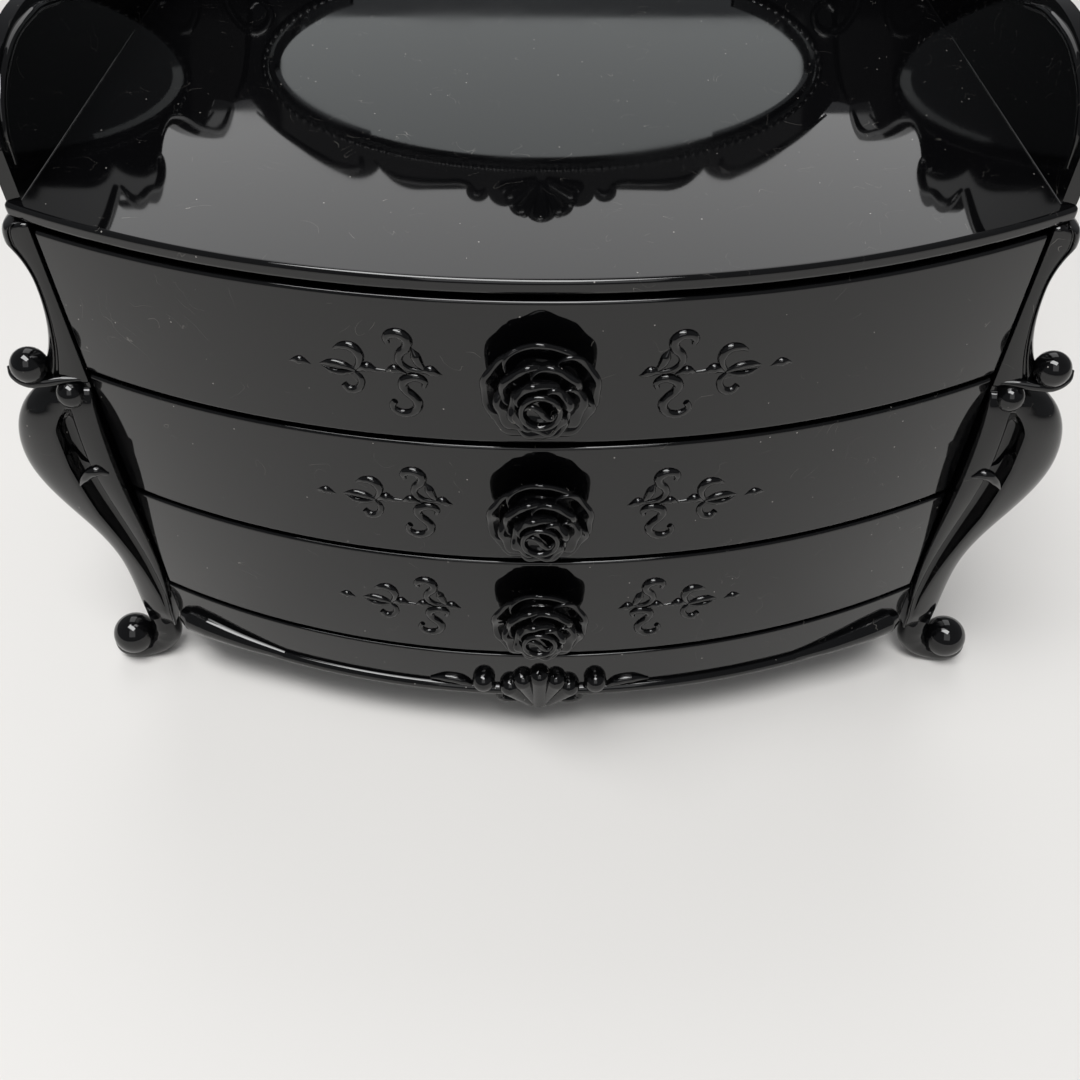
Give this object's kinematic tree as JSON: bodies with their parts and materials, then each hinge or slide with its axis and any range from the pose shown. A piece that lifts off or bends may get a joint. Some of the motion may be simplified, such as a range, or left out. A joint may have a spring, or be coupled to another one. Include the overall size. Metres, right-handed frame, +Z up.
{
  "type": "jewelry chest",
  "caption": "Small gloss black jewelry chest with bowed drawers, rose knobs, cabriole corner posts and a scrolled gallery holding an oval mirror.",
  "frame": {"origin": "middle of the overall box at the level of the feet", "axes": "+Z up, -Y out of the drawer fronts, +X to the right as seen from the front"},
  "size_m": [0.206, 0.1673, 0.196],
  "materials": {
    "black_plastic": "black high-gloss moulded plastic",
    "mirror": "silvered glass with a bevelled rim",
    "steel": "zinc plated steel"
  },
  "bodies": {
    "chest": {"top_panel": "black_plastic", "bottom_panel": "black_plastic", "shelf_lower": "black_plastic", "shelf_upper": "black_plastic", "side_panel_left": "black_plastic", "side_panel_right": "black_plastic", "back_panel": "black_plastic", "front_apron": "black_plastic", "corner_post_front_left": "black_plastic", "corner_post_front_right": "black_plastic", "corner_post_rear_left": "black_plastic", "corner_post_rear_right": "black_plastic", "post_screws": "steel", "gallery_back": "black_plastic", "gallery_wing_left": "black_plastic", "gallery_wing_right": "black_plastic", "gallery_mirror": "mirror"},
    "drawer_top": {"drawer_front_top": "black_plastic", "drawer_tray_top": "black_plastic", "rose_knob_top": "black_plastic", "knob_screw_top": "steel"},
    "drawer_middle": {"drawer_front_middle": "black_plastic", "drawer_tray_middle": "black_plastic", "rose_knob_middle": "black_plastic", "knob_screw_middle": "steel"},
    "drawer_bottom": {"drawer_front_bottom": "black_plastic", "drawer_tray_bottom": "black_plastic", "rose_knob_bottom": "black_plastic", "knob_screw_bottom": "steel"}
  },
  "joints": [
    {"name": "drawer_top_slide", "type": "slide", "parent": "chest", "child": "drawer_top", "axis": [0, -1, 0], "range_m": [0, 0.095]},
    {"name": "drawer_middle_slide", "type": "slide", "parent": "chest", "child": "drawer_middle", "axis": [0, -1, 0], "range_m": [0, 0.095]},
    {"name": "drawer_bottom_slide", "type": "slide", "parent": "chest", "child": "drawer_bottom", "axis": [0, -1, 0], "range_m": [0, 0.095]}
  ]
}
